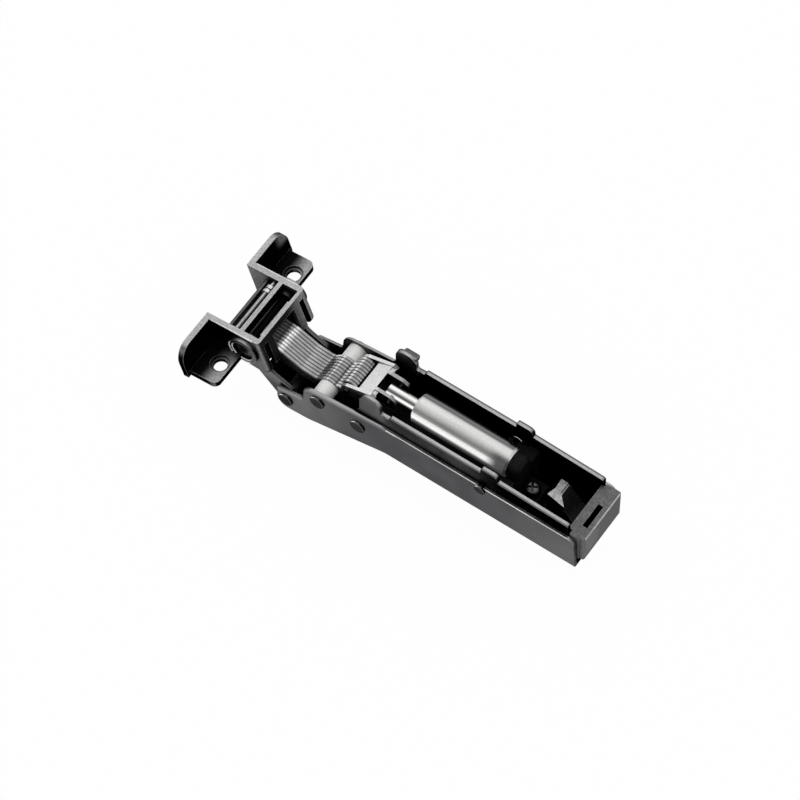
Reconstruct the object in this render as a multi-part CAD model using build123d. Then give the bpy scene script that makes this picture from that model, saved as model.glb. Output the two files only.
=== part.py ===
from build123d import *
import math
import os

# Frame: X runs along the arm towards its end cap, Y across it, Z up out of the open channel.
# The origin is the middle of the flat back of the arm. All sizes are in millimetres.

# Arm
ARM_WIDTH = 19.2
OUTER_SHEET = 1.0
OUTER_TOP = 12.0
ARM_END = 30.0
BACK_FRONT = -27.0
NOSE_BOTTOM = -6.5
NOSE_FRONT = -60.5
INNER_SHEET = 1.2
NEST_CLEARANCE = 0.05
INNER_TOP = 17.0
INNER_END = 30.2
INNER_FRONT = -38.5
LOBE_TOP = 20.2
CURL_FROM = -33.6
SPRING_TAB_TOP = 19.0
SPRING_TAB_FROM = 0.8
SPRING_TAB_TO = 5.8

# Fixed pivots on the arm: x, z
NOSE_PIVOT = (-57.4, -2.05)
MAIN_PIVOT = (-47.55, 6.15)
CHANNEL_RIVET = (-35.2, 6.2)
DAMPER_RIVET = (1.6, 11.3)

# Moving pivots in the open pose: x, z
LINK_PIVOT = (-69.4, 12.2)
LEVER_PIVOT = (-66.5, 7.2)
TAIL_PIVOT = (-41.3, 12.0)
ROD_PIVOT = (-30.2, 14.0)

# Pins and rivets
RIVET_HEAD_RADIUS = 2.15
RIVET_HEAD_HEIGHT = 0.6
NOSE_PIN_RADIUS = 1.5
MAIN_PIN_RADIUS = 1.6
SHORT_RIVET_RADIUS = 1.1
LINK_PIN_RADIUS = 1.5
LEVER_PIN_RADIUS = 1.2
TAIL_PIN_RADIUS = 0.9
ROD_PIN_RADIUS = 0.7
RUNNING_FIT = 0.03
SIDE_GAP = 0.3
OPEN_PIVOT_CLEARANCE = 1.0

# Laminated lever
PLATE_COUNT = 9
PLATE_THICKNESS = 0.955
PLATE_EDGE = 0.16
LEVER_EYE_RADIUS = 2.4
MAIN_BUMP_RADIUS = 2.9
TAIL_BUMP_RADIUS = 2.3
BUSH_RADIUS = 2.65

# Outer link
LINK_PLATE = 1.0
LINK_SIDE_PLAY = 0.4
LINK_EYE_RADIUS = 3.0
NOSE_EYE_RADIUS = 2.9
SLEEVE_RADIUS = 2.4
LINK_FOOT = (-61.0, -4.2)
LINK_KNEE = (-67.0, 2.2)
LINK_WEB_TOP = 1.2

# Yoke
YOKE_SHEET = 0.9
YOKE_REAR_HALF = 3.3
YOKE_EYE_RADIUS = 2.3

# Damper
DAMPER_RADIUS = 4.25
DAMPER_AXIS_Z = 14.0
DAMPER_FRONT = -23.4
DAMPER_REAR = 5.0
DAMPER_WALL = 0.6
ROD_RADIUS = 1.85
PISTON_X = -13.0
PISTON_LENGTH = 4.0

# Door bracket, drawn level and then tipped by BRACKET_TILT about the link pivot
BRACKET_TILT = 6.0
BOX_SIDE_PLAY = 0.3
BOX_WALL = 1.6
BOX_BACK = -81.4
BACK_SLANT = 10.0
BOX_FRONT = -64.6
BOX_TOP = 17.4
BOX_BOTTOM = 5.6
EAR_FRONT = -62.4
FRONT_WALL = 0.9
FRONT_BAR_HEIGHT = 2.0
DIVIDER_X = -71.3
DIVIDER_WALL = 1.2
DIVIDER_HEIGHT = 1.6
LUG_RADIUS = 2.2
LUG_WEB_X = -72.9
LUG_WEB_DEPTH = 4.2
TRAY_HALF_SPAN = 21.7
TRAY_WALL_STEP = 1.0
TRAY_WALL_ROUND = 4.5
TRAY_FLOOR_TOP = 10.0
TRAY_FLOOR = 1.8
TRAY_FRONT = -70.2
TRAY_CORNER = 1.8
LEDGE_FROM = -7.0
LEDGE_TO = 5.0
LEDGE_DEPTH = 0.7
HOLE_PITCH = 32.0
HOLE_X = -73.1
HOLE_RADIUS = 1.85
HOLE_RIM_RADIUS = 2.6
HOLE_RIM_DEPTH = 0.5
BOSS_RADIUS = 4.3
BOSS_BORE_RADIUS = 3.3
BOSS_HEIGHT = 1.0
CROSS_PIN = (-73.1, 15.1)
CROSS_PIN_RADIUS = 0.9
SECOND_BAR = (-75.4, 14.3)
SECOND_BAR_RADIUS = 0.6
COLLAR_RADIUS = 1.3
COLLAR_WIDTH = 0.9
COLLAR_STEP = 1.3

# Arm fittings
CAP_END = 31.7
CAP_TOP = 13.7
CAP_BOTTOM = 3.6
CAP_HALF_WIDTH = 8.2
CAP_WING_X = 27.4
CAP_TONGUE_X = 26.4
INNER_WALL_END = 26.8
SCREW_X = 10.9
SCREW_HEAD_RADIUS = 2.25
WEDGE_TOP = 9.0

os.makedirs("parts", exist_ok=True)

side_view = Plane(origin=(0, 0, 0), x_dir=(1, 0, 0), z_dir=(0, -1, 0))


def side_plate(points, y_from, y_to):
    """Solid from a side outline of (x, z) points, between two y planes."""
    wire = Polyline(*[(x, y_from, z) for x, z in points], close=True)
    return extrude(make_face(wire), amount=y_to - y_from, dir=(0, 1, 0))


def rounded_face(corners):
    """Flat outline whose corners are rounded: each corner is (x, z, radius)."""
    flat = make_face(Polyline(*[(x, z) for x, z, _ in corners], close=True))
    for x, z, radius in corners:
        if radius > 0:
            vertex = flat.vertices().sort_by_distance(Vector(x, z, 0))[0]
            flat = fillet(vertex, radius)
    return flat


def smooth_plate(corners, y_from, y_to):
    """Plate between two y planes with a rounded side outline."""
    placed = Plane(origin=(0, y_from, 0), x_dir=(1, 0, 0), z_dir=(0, -1, 0)) * rounded_face(corners)
    return extrude(placed, amount=y_to - y_from, dir=(0, 1, 0))


def pin(pivot, radius, y_from, y_to):
    """Cylinder along Y through an (x, z) pivot."""
    middle = (y_from + y_to) / 2
    return Pos(pivot[0], middle, pivot[1]) * Rot(90, 0, 0) * Cylinder(radius, abs(y_to - y_from))


def domed_head(pivot, radius, height, y_face, side):
    """Low domed rivet head standing out of a wall face; side is +1 or -1 along Y."""
    base = pin(pivot, radius, y_face, y_face + side * height)
    rim = base.edges().filter_by(GeomType.CIRCLE).sort_by(Axis.Y)
    outer = rim[-1] if side > 0 else rim[0]
    return fillet(outer, height * 0.7)


def box(x_from, x_to, y_from, y_to, z_from, z_to):
    """Block between three pairs of limits."""
    size = Box(x_to - x_from, y_to - y_from, z_to - z_from)
    return Pos((x_from + x_to) / 2, (y_from + y_to) / 2, (z_from + z_to) / 2) * size


def save(name, shape):
    """Writes one node to parts/NAME.step and prints its volume."""
    shape.label = name
    export_step(shape, f"parts/{name}.step")
    print(name, "solids", len(shape.solids()), "volume", round(shape.volume, 1))


def turned(point, centre, degrees):
    """An (x, z) point turned about an (x, z) centre, Z towards X."""
    angle = math.radians(degrees)
    dx = point[0] - centre[0]
    dz = point[1] - centre[1]
    return (centre[0] + dx * math.cos(angle) + dz * math.sin(angle),
            centre[1] - dx * math.sin(angle) + dz * math.cos(angle))


ARM_HALF = ARM_WIDTH / 2
INNER_HALF = ARM_HALF - OUTER_SHEET - NEST_CLEARANCE
INNER_FACE = INNER_HALF - INNER_SHEET
INNER_FLOOR = OUTER_SHEET + NEST_CLEARANCE
INNER_FLOOR_TOP = INNER_FLOOR + INNER_SHEET
STACK_HALF = PLATE_COUNT * PLATE_THICKNESS / 2
LINK_OUTER_HALF = ARM_HALF - OUTER_SHEET - LINK_SIDE_PLAY
LINK_INNER_HALF = LINK_OUTER_HALF - LINK_PLATE
LUG_HALF = LINK_INNER_HALF - LINK_SIDE_PLAY
BOX_INNER = LINK_OUTER_HALF + BOX_SIDE_PLAY
TRAY_WALL_SPAN = TRAY_HALF_SPAN + TRAY_WALL_STEP
BOX_HALF_WIDTH = BOX_INNER + BOX_WALL


# Outer channel
outer_outline = [
    (ARM_END, 0, 0),
    (BACK_FRONT, 0, 6),
    (-50.5, -6.0, 8),
    (-56.0, NOSE_BOTTOM, 0),
    (NOSE_FRONT, NOSE_BOTTOM, 3.6),
    (NOSE_FRONT, 1.0, 0.8),
    (-52.6, 2.7, 0.9),
    (-52.0, 9.0, 3.4),
    (-45.0, 10.0, 5),
    (-28.5, OUTER_TOP, 0),
    (ARM_END - 0.8, OUTER_TOP, 2.2),
]
outer = smooth_plate(outer_outline, -ARM_HALF, ARM_HALF)
outer_hollow = [
    (ARM_END + 5, OUTER_SHEET),
    (BACK_FRONT, OUTER_SHEET),
    (-50.3, -6.0 + OUTER_SHEET),
    (-55.8, NOSE_BOTTOM + OUTER_SHEET),
    (NOSE_FRONT - 5, NOSE_BOTTOM + OUTER_SHEET),
    (NOSE_FRONT - 5, OUTER_TOP + 5),
    (ARM_END + 5, OUTER_TOP + 5),
]
outer -= side_plate(outer_hollow, -ARM_HALF + OUTER_SHEET, ARM_HALF - OUTER_SHEET)
back_edges = [e for e in outer.edges().filter_by(Axis.X) if abs(e.center().Z) < 0.01]
outer = fillet(back_edges, 0.8)
outer -= pin(NOSE_PIVOT, NOSE_PIN_RADIUS, -ARM_HALF - 1, ARM_HALF + 1)
outer -= pin(MAIN_PIVOT, MAIN_PIN_RADIUS, -ARM_HALF - 1, ARM_HALF + 1)
outer -= pin(CHANNEL_RIVET, SHORT_RIVET_RADIUS, -ARM_HALF - 1, ARM_HALF + 1)
outer -= pin(DAMPER_RIVET, SHORT_RIVET_RADIUS, -ARM_HALF - 1, ARM_HALF + 1)
save("outer_channel", outer)

# Inner channel
inner_outline = [
    (INNER_END, INNER_FLOOR, 0),
    (INNER_FRONT, INNER_FLOOR, 0),
    (INNER_FRONT, 9.2, 1.5),
    (-35.4, 13.4, 1.5),
    (-35.4, LOBE_TOP, 2.6),
    (-29.2, LOBE_TOP, 2.6),
    (-29.2, 15.7, 0.8),
    (-26.6, 16.0, 0.4),
    (-26.2, INNER_TOP, 0.4),
    (SPRING_TAB_FROM, INNER_TOP, 0.2),
    (SPRING_TAB_FROM, SPRING_TAB_TOP, 0.7),
    (SPRING_TAB_TO, SPRING_TAB_TOP, 1.5),
    (SPRING_TAB_TO, INNER_TOP - 0.3, 0.5),
    (INNER_WALL_END, INNER_TOP - 1.1, 0.8),
    (INNER_WALL_END, INNER_FLOOR_TOP + 0.4, 0.4),
    (INNER_END, INNER_FLOOR_TOP + 0.4, 0),
]
inner = smooth_plate(inner_outline, -INNER_HALF, INNER_HALF)
inner -= box(INNER_FRONT - 5, INNER_END + 5, -INNER_FACE, INNER_FACE, INNER_FLOOR_TOP, LOBE_TOP + 5)
curl_length = -29.4 - CURL_FROM
curl = Pos(CURL_FROM + curl_length / 2, INNER_HALF + 0.1, LOBE_TOP - 1.1) * Rot(0, 90, 0) * Cylinder(1.1, curl_length)
inner += fillet(curl.edges().filter_by(GeomType.CIRCLE), 0.5)
inner -= pin(CHANNEL_RIVET, SHORT_RIVET_RADIUS, -ARM_HALF - 1, ARM_HALF + 1)
inner -= pin(DAMPER_RIVET, SHORT_RIVET_RADIUS, -ARM_HALF - 1, ARM_HALF + 1)
for x, z in ((-13.0, 14.6), (16.0, 13.0)):
    inner += Pos(x, -INNER_FACE, z) * Sphere(0.7) - box(x - 2, x + 2, -ARM_HALF, -INNER_HALF + 0.2, z - 2, z + 2)
save("inner_channel", inner)

# End cap
cap = box(ARM_END + 0.3, CAP_END, -CAP_HALF_WIDTH, CAP_HALF_WIDTH, CAP_BOTTOM, CAP_TOP)
cap = chamfer(cap.faces().sort_by(Axis.X)[-1].edges(), 0.35)
tongue_half = INNER_FACE - NEST_CLEARANCE
wing_half = ARM_HALF - OUTER_SHEET - 2 * NEST_CLEARANCE
cap += box(CAP_TONGUE_X, ARM_END + 0.3, -tongue_half, tongue_half, CAP_TOP - 2.2, CAP_TOP)
wings = box(CAP_WING_X, ARM_END + 0.3, -wing_half, wing_half, CAP_BOTTOM, CAP_TOP)
cap += chamfer(wings.edges().filter_by(Axis.X).group_by(Axis.Z)[-1], 0.5)
cap -= box(28.7, 30.2, -5.0, 2.3, CAP_TOP - 4, CAP_TOP + 1)
cap -= box(CAP_WING_X + 1.2, ARM_END - 0.6, -tongue_half + 0.8, tongue_half - 0.8, CAP_BOTTOM - 1, CAP_TOP - 2.2)
save("end_cap", cap)

# Catch wedge
waisted = make_face(Polyline((15.4, -0.2), (20.9, -1.1), (17.9, 2.1), (18.0, 5.3), (16.0, 5.3), (16.1, 2.2), close=True))
wedge = Pos(0, 0, INNER_FLOOR_TOP) * extrude(waisted, amount=WEDGE_TOP - INNER_FLOOR_TOP, dir=(0, 0, 1))
wedge += side_plate([(16.4, INNER_FLOOR_TOP), (23.6, INNER_FLOOR_TOP), (18.4, WEDGE_TOP - 0.6), (16.4, WEDGE_TOP - 0.6)],
                    -0.4, 5.3)
save("catch_wedge", wedge)

# Rivets
for name, pivot, shank in (("nose_rivet", NOSE_PIVOT, NOSE_PIN_RADIUS), ("main_rivet", MAIN_PIVOT, MAIN_PIN_RADIUS)):
    rivet = pin(pivot, shank, -ARM_HALF, ARM_HALF)
    for side in (-1, 1):
        rivet += domed_head(pivot, RIVET_HEAD_RADIUS, RIVET_HEAD_HEIGHT, side * ARM_HALF, side)
    save(name, rivet)

for name, pivot, head_radius in (("channel_rivets", CHANNEL_RIVET, RIVET_HEAD_RADIUS),
                                 ("damper_rivets", DAMPER_RIVET, SHORT_RIVET_RADIUS + 0.5)):
    pair = []
    for side in (-1, 1):
        shank = pin(pivot, SHORT_RIVET_RADIUS, side * (INNER_FACE - 0.5), side * ARM_HALF)
        head = domed_head(pivot, head_radius, RIVET_HEAD_HEIGHT, side * ARM_HALF, side)
        pair.append(shank + head)
    save(name, Compound(children=pair))

rings = []
for side in (-1, 1):
    ring = Pos(DAMPER_RIVET[0], side * (INNER_FACE - 0.3), DAMPER_RIVET[1]) * Rot(90, 0, 0) * Torus(1.42, 0.3)
    rings.append(ring)
save("damper_rings", Compound(children=rings))

# Damper
def turned_part(profile):
    """Solid of revolution about the damper axis from (x, radius) points."""
    wire = Polyline(*[(x, 0, DAMPER_AXIS_Z + r) for x, r in profile], close=True)
    return revolve(make_face(wire), Axis((0, 0, DAMPER_AXIS_Z), (1, 0, 0)))


bore = DAMPER_RADIUS - DAMPER_WALL
gland_bore = ROD_RADIUS + RUNNING_FIT
tube = turned_part([
    (DAMPER_FRONT + 0.5, DAMPER_RADIUS - 0.1),
    (DAMPER_FRONT + 0.9, DAMPER_RADIUS),
    (DAMPER_REAR - 0.6, DAMPER_RADIUS),
    (DAMPER_REAR, DAMPER_RADIUS - 0.5),
    (DAMPER_REAR, 0),
    (DAMPER_REAR - 1.2, 0),
    (DAMPER_REAR - 1.2, bore),
    (DAMPER_FRONT + 0.5, bore),
])
save("damper_cylinder", tube)
gland = turned_part([
    (DAMPER_FRONT, gland_bore),
    (DAMPER_FRONT, DAMPER_RADIUS - 0.9),
    (DAMPER_FRONT + 0.5, bore),
    (DAMPER_FRONT + 4, bore),
    (DAMPER_FRONT + 4, gland_bore),
])
save("damper_gland", gland)
tail = turned_part([
    (DAMPER_REAR, 0),
    (DAMPER_REAR, 3.2),
    (DAMPER_REAR + 2.6, 3.2),
    (DAMPER_REAR + 3.4, 2.4),
    (DAMPER_REAR + 3.4, 0),
])
save("damper_tail", tail)
seat = box(DAMPER_REAR - 5.4, DAMPER_REAR + 3.0, -INNER_FACE, INNER_FACE, INNER_FLOOR_TOP, 12.0)
seat -= pin(DAMPER_RIVET, SHORT_RIVET_RADIUS, -ARM_HALF, ARM_HALF)
seat -= box(-5, 5, INNER_FACE - 0.7, INNER_FACE + 1, 8, 14)
seat -= box(-5, 5, -INNER_FACE - 1, -INNER_FACE + 0.7, 8, 14)
seat -= Pos(0, 0, DAMPER_AXIS_Z) * Rot(0, 90, 0) * Cylinder(DAMPER_RADIUS, 60)
save("damper_seat", seat)
piston = turned_part([
    (PISTON_X, 0.8),
    (PISTON_X, bore - RUNNING_FIT),
    (PISTON_X + PISTON_LENGTH, bore - RUNNING_FIT),
    (PISTON_X + PISTON_LENGTH, 0.8),
])
save("piston", piston)
rod = turned_part([
    (ROD_PIVOT[0] - 2.1, 0),
    (ROD_PIVOT[0] - 2.1, ROD_RADIUS - 0.3),
    (ROD_PIVOT[0] - 1.8, ROD_RADIUS),
    (PISTON_X, ROD_RADIUS),
    (PISTON_X, 0.8),
    (PISTON_X + PISTON_LENGTH + 0.8, 0.8),
    (PISTON_X + PISTON_LENGTH + 0.8, 0),
])
rod -= pin(ROD_PIVOT, ROD_PIN_RADIUS + 0.25, -4, 4)
save("piston_rod", rod)

# Laminated lever
lever_corners = [
    (LEVER_PIVOT[0] - 0.2, LEVER_PIVOT[1] + 2.35, 0),
    (-63.3, 9.5, 1.8),
    (-56.4, 6.7, 4),
    (-51.6, 6.1, 2.2),
    (-49.4, 8.55, 0.6),
    (-45.6, 8.4, 1.5),
    (-43.6, 9.3, 1.2),
    (-43.0, 13.6, 1.2),
    (-39.3, 13.8, 1.2),
    (-37.9, 10.4, 1.0),
    (-40.2, 7.2, 2),
    (-45.0, 3.6, 2),
    (-50.0, 3.1, 2),
    (-57.0, 3.3, 4),
    (LEVER_PIVOT[0], LEVER_PIVOT[1] - 2.3, 0),
]
lever_face = rounded_face(lever_corners)
for pivot, radius in ((LEVER_PIVOT, LEVER_EYE_RADIUS), (MAIN_PIVOT, MAIN_BUMP_RADIUS), (TAIL_PIVOT, TAIL_BUMP_RADIUS)):
    lever_face += Pos(pivot[0], pivot[1]) * Circle(radius)
skin_face = offset(lever_face, -PLATE_EDGE)
core = extrude(side_view * lever_face, amount=PLATE_THICKNESS - 2 * PLATE_EDGE, dir=(0, 1, 0))
plate = Pos(0, PLATE_EDGE, 0) * core
plate += extrude(side_view * skin_face, amount=PLATE_THICKNESS, dir=(0, 1, 0))
plate -= pin(LEVER_PIVOT, LEVER_PIN_RADIUS + RUNNING_FIT, -1, 2)
plate -= pin(MAIN_PIVOT, MAIN_PIN_RADIUS + RUNNING_FIT, -1, 2)
plate -= pin(TAIL_PIVOT, TAIL_PIN_RADIUS, -1, 2)
for number in range(PLATE_COUNT):
    save(f"lever_plate_{number + 1}", Pos(0, -STACK_HALF + number * PLATE_THICKNESS, 0) * plate)

for side, name in ((-1, "bush_near"), (1, "bush_far")):
    inner_end = side * STACK_HALF
    outer_end = side * (INNER_HALF + NEST_CLEARANCE - 0.1)
    bush = pin(MAIN_PIVOT, BUSH_RADIUS, inner_end, outer_end)
    bush -= pin(MAIN_PIVOT, MAIN_PIN_RADIUS + RUNNING_FIT, -ARM_HALF, ARM_HALF)
    save(name, bush)

# Yoke
YOKE_FRONT_HALF = STACK_HALF + SIDE_GAP + YOKE_SHEET
yoke = None
for side in (-1, 1):
    front_face = side * (STACK_HALF + SIDE_GAP)
    front = side_plate([
        (TAIL_PIVOT[0] - 1.6, TAIL_PIVOT[1] - 1.5),
        (TAIL_PIVOT[0] - 0.5, TAIL_PIVOT[1] - 2.0),
        (-33.6, 11.8),
        (-33.0, 13.0),
        (-33.0, 16.0),
        (-34.2, 16.6),
        (TAIL_PIVOT[0] - 0.6, TAIL_PIVOT[1] + 1.9),
        (TAIL_PIVOT[0] - 1.8, TAIL_PIVOT[1] + 1.0),
    ], min(front_face, side * YOKE_FRONT_HALF), max(front_face, side * YOKE_FRONT_HALF))
    rear_inner = side * (YOKE_REAR_HALF - YOKE_SHEET)
    rear = side_plate([
        (-34.6, 11.9),
        (ROD_PIVOT[0], ROD_PIVOT[1] - YOKE_EYE_RADIUS),
        (ROD_PIVOT[0], ROD_PIVOT[1] + YOKE_EYE_RADIUS),
        (-34.6, 16.4),
    ], min(rear_inner, side * YOKE_REAR_HALF), max(rear_inner, side * YOKE_REAR_HALF))
    rear += pin(ROD_PIVOT, YOKE_EYE_RADIUS, rear_inner, side * YOKE_REAR_HALF)
    joggle = box(-34.6, -33.2, min(rear_inner, side * YOKE_FRONT_HALF), max(rear_inner, side * YOKE_FRONT_HALF), 12.0, 16.1)
    half = front + rear + joggle
    yoke = half if yoke is None else yoke + half
web = side_plate([(-38.4, 14.6), (-34.4, 16.4), (-34.4, 15.2), (-38.0, 13.6)], -YOKE_FRONT_HALF, YOKE_FRONT_HALF)
yoke += web
yoke -= pin(TAIL_PIVOT, TAIL_PIN_RADIUS + RUNNING_FIT, -ARM_HALF, ARM_HALF)
yoke -= pin(ROD_PIVOT, ROD_PIN_RADIUS, -ARM_HALF, ARM_HALF)
save("yoke", yoke)

tail_pin = pin(TAIL_PIVOT, TAIL_PIN_RADIUS, -YOKE_FRONT_HALF - 0.5, YOKE_FRONT_HALF + 0.5)
save("tail_pin", tail_pin)
rod_pin = pin(ROD_PIVOT, ROD_PIN_RADIUS, -YOKE_REAR_HALF - 0.5, YOKE_REAR_HALF + 0.5)
save("rod_pin", rod_pin)

# Outer link: two side plates joined by a web along their lower edge
link_outline = rounded_face([
    (NOSE_PIVOT[0] + 2.4, NOSE_PIVOT[1] + 0.6, 0),
    (NOSE_PIVOT[0] + 1.2, NOSE_PIVOT[1] + 3.0, 2),
    (-63.6, 4.0, 5),
    (LINK_PIVOT[0] + 3.5, LINK_PIVOT[1] + 1.2, 0),
    (LINK_PIVOT[0] - 2.6, LINK_PIVOT[1] - 2.6, 0),
    (*LINK_KNEE, 5),
    (*LINK_FOOT, 2),
    (NOSE_PIVOT[0] - 1.0, NOSE_PIVOT[1] - 2.7, 0),
])
link = None
for side in (-1, 1):
    faces = sorted((side * LINK_INNER_HALF, side * LINK_OUTER_HALF))
    cheek = Pos(0, faces[0], 0) * extrude(side_view * link_outline, amount=LINK_PLATE, dir=(0, 1, 0))
    cheek += pin(LINK_PIVOT, LINK_EYE_RADIUS, *faces)
    cheek += pin(NOSE_PIVOT, NOSE_EYE_RADIUS, *faces)
    link = cheek if link is None else link + cheek
rim = side_view * (link_outline - offset(link_outline, -LINK_PLATE))
rim_band = Pos(0, -LINK_OUTER_HALF, 0) * extrude(rim, amount=2 * LINK_OUTER_HALF, dir=(0, 1, 0))
link += rim_band & box(LINK_KNEE[0] - 1, NOSE_PIVOT[0] - NOSE_EYE_RADIUS, -ARM_HALF, ARM_HALF, NOSE_BOTTOM, LINK_WEB_TOP)
link -= pin(LINK_PIVOT, LINK_PIN_RADIUS + OPEN_PIVOT_CLEARANCE, -ARM_HALF, ARM_HALF)
link -= pin(NOSE_PIVOT, NOSE_PIN_RADIUS + RUNNING_FIT, -ARM_HALF, ARM_HALF)
save("outer_link", link)
sleeve = pin(NOSE_PIVOT, SLEEVE_RADIUS, -LINK_INNER_HALF, LINK_INNER_HALF)
sleeve -= pin(NOSE_PIVOT, NOSE_PIN_RADIUS + RUNNING_FIT, -ARM_HALF, ARM_HALF)
save("link_sleeve", sleeve)

# Door bracket
def tipped(shape):
    """Turns a bracket shape from level into the open pose."""
    about = Pos(LINK_PIVOT[0], 0, LINK_PIVOT[1])
    return about * Rot(0, -BRACKET_TILT, 0) * Pos(-LINK_PIVOT[0], 0, -LINK_PIVOT[1]) * shape


def back_x(z):
    """Outer face of the leaning back wall at a height."""
    return BOX_BACK + (BOX_TOP - z) * math.tan(math.radians(BACK_SLANT))


level_lever_pivot = turned(LEVER_PIVOT, LINK_PIVOT, BRACKET_TILT)
tray_bottom = TRAY_FLOOR_TOP - TRAY_FLOOR
cheek_outline = [
    (back_x(BOX_BOTTOM + 0.5), BOX_BOTTOM + 0.5, 0.8),
    (-73.0, BOX_BOTTOM, 2),
    (EAR_FRONT - 1.2, level_lever_pivot[1] - 2.6, 2.5),
    (EAR_FRONT, level_lever_pivot[1], 1.0),
    (BOX_FRONT, BOX_TOP, 0),
    (BOX_BACK, BOX_TOP, 0),
]
housing = smooth_plate(cheek_outline, -BOX_HALF_WIDTH, BOX_HALF_WIDTH)
front_edges = [e for e in housing.edges() if e.length > 5 and e.center().X > BOX_FRONT]
housing = fillet([e for e in front_edges if abs(e.center().Y) > BOX_HALF_WIDTH - 0.1], 1.1)
housing -= box(BOX_BACK - 1, DIVIDER_X, -BOX_INNER, BOX_INNER, BOX_BOTTOM - 5, BOX_TOP + 5)
housing -= box(DIVIDER_X + DIVIDER_WALL, BOX_FRONT - FRONT_WALL, -BOX_INNER, BOX_INNER, -5, BOX_TOP + 5)
bar_hollow = box(BOX_FRONT - FRONT_WALL - 1, EAR_FRONT + 5, -BOX_INNER, BOX_INNER, -5, BOX_TOP - FRONT_BAR_HEIGHT)
blind = side_plate([
    (BOX_FRONT - FRONT_WALL, BOX_TOP),
    (BOX_FRONT, BOX_TOP),
    (EAR_FRONT, level_lever_pivot[1]),
    (EAR_FRONT - 1.6, level_lever_pivot[1]),
], -LUG_HALF, LUG_HALF)
blind -= box(BOX_BACK, EAR_FRONT + 5, -STACK_HALF - SIDE_GAP, STACK_HALF + SIDE_GAP, -5, BOX_TOP + 5)
housing -= bar_hollow - blind
housing -= box(DIVIDER_X - 1, DIVIDER_X + DIVIDER_WALL + 1, -BOX_INNER, BOX_INNER, -5, BOX_TOP - DIVIDER_HEIGHT)
housing += blind
housing += box(BOX_FRONT - FRONT_WALL - LEDGE_DEPTH, BOX_FRONT - FRONT_WALL + 0.1, LEDGE_FROM, LEDGE_TO,
               BOX_TOP - FRONT_BAR_HEIGHT, BOX_TOP - LEDGE_DEPTH)
housing += box(LUG_WEB_X - LUG_WEB_DEPTH, LUG_WEB_X, -BOX_INNER - 0.5, BOX_INNER + 0.5, BOX_BOTTOM + 0.4, 10.4)
for side in (-1, 1):
    lug_faces = sorted((side * (STACK_HALF + SIDE_GAP), side * LUG_HALF))
    lug = box(LUG_WEB_X - 1, level_lever_pivot[0], lug_faces[0], lug_faces[1],
              level_lever_pivot[1] - LUG_RADIUS, level_lever_pivot[1] + LUG_RADIUS)
    housing += lug + pin(level_lever_pivot, LUG_RADIUS, lug_faces[0], lug_faces[1])
tray_profile = [
    (back_x(tray_bottom), tray_bottom),
    (TRAY_FRONT, tray_bottom),
    (TRAY_FRONT, TRAY_FLOOR_TOP),
    (back_x(TRAY_FLOOR_TOP) + BOX_WALL, TRAY_FLOOR_TOP),
    (BOX_BACK + BOX_WALL, BOX_TOP),
    (BOX_BACK, BOX_TOP),
]
floor_overhang = [
    (back_x(tray_bottom) + BOX_WALL, tray_bottom - 1),
    (TRAY_FRONT + 1, tray_bottom - 1),
    (TRAY_FRONT + 1, TRAY_FLOOR_TOP + 1),
    (back_x(TRAY_FLOOR_TOP) + BOX_WALL, TRAY_FLOOR_TOP + 1),
]
for side in (-1, 1):
    tray = side_plate(tray_profile, *sorted((side * (BOX_HALF_WIDTH - 0.5), side * TRAY_WALL_SPAN)))
    tray -= side_plate(floor_overhang, *sorted((side * TRAY_HALF_SPAN, side * (TRAY_WALL_SPAN + 1))))
    front_corner = [e for e in tray.edges().filter_by(Axis.Z) if abs(abs(e.center().Y) - TRAY_HALF_SPAN) < 0.1]
    tray = fillet(max(front_corner, key=lambda e: e.center().X), TRAY_CORNER)
    round_y = side * (TRAY_WALL_SPAN - TRAY_WALL_ROUND)
    round_z = BOX_TOP - TRAY_WALL_ROUND
    top_corner = Pos(BOX_BACK, side * TRAY_WALL_SPAN, BOX_TOP) * Box(12, 2 * TRAY_WALL_ROUND, 2 * TRAY_WALL_ROUND)
    rounder = Pos(BOX_BACK, round_y, round_z) * Rot(0, 90, 0) * Cylinder(TRAY_WALL_ROUND, 14)
    housing += tray - (top_corner - rounder)
for side in (-1, 1):
    hole = (HOLE_X, side * HOLE_PITCH / 2, TRAY_FLOOR_TOP)
    housing -= Pos(hole) * Cylinder(HOLE_RADIUS, 12)
    housing -= Pos(hole) * Cylinder(HOLE_RIM_RADIUS, 2 * HOLE_RIM_DEPTH)
    face = side * BOX_HALF_WIDTH
    boss = pin(LINK_PIVOT, BOSS_RADIUS, face - side * 0.5, face + side * BOSS_HEIGHT)
    boss -= pin(LINK_PIVOT, BOSS_BORE_RADIUS, face + side * 0.2, face + side * (BOSS_HEIGHT + 1))
    housing += boss
housing -= pin(LINK_PIVOT, LINK_PIN_RADIUS, -15, 15)
housing -= pin(level_lever_pivot, LEVER_PIN_RADIUS, -LUG_HALF - 0.1, LUG_HALF + 0.1)
level_cross_pin = turned(CROSS_PIN, LINK_PIVOT, BRACKET_TILT)
level_second_bar = turned(SECOND_BAR, LINK_PIVOT, BRACKET_TILT)
housing -= pin(level_cross_pin, CROSS_PIN_RADIUS, -BOX_HALF_WIDTH + 0.5, BOX_HALF_WIDTH - 0.5)
housing -= pin(level_second_bar, SECOND_BAR_RADIUS, -BOX_HALF_WIDTH + 0.5, BOX_HALF_WIDTH - 0.5)
save("bracket_housing", tipped(housing))

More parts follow.
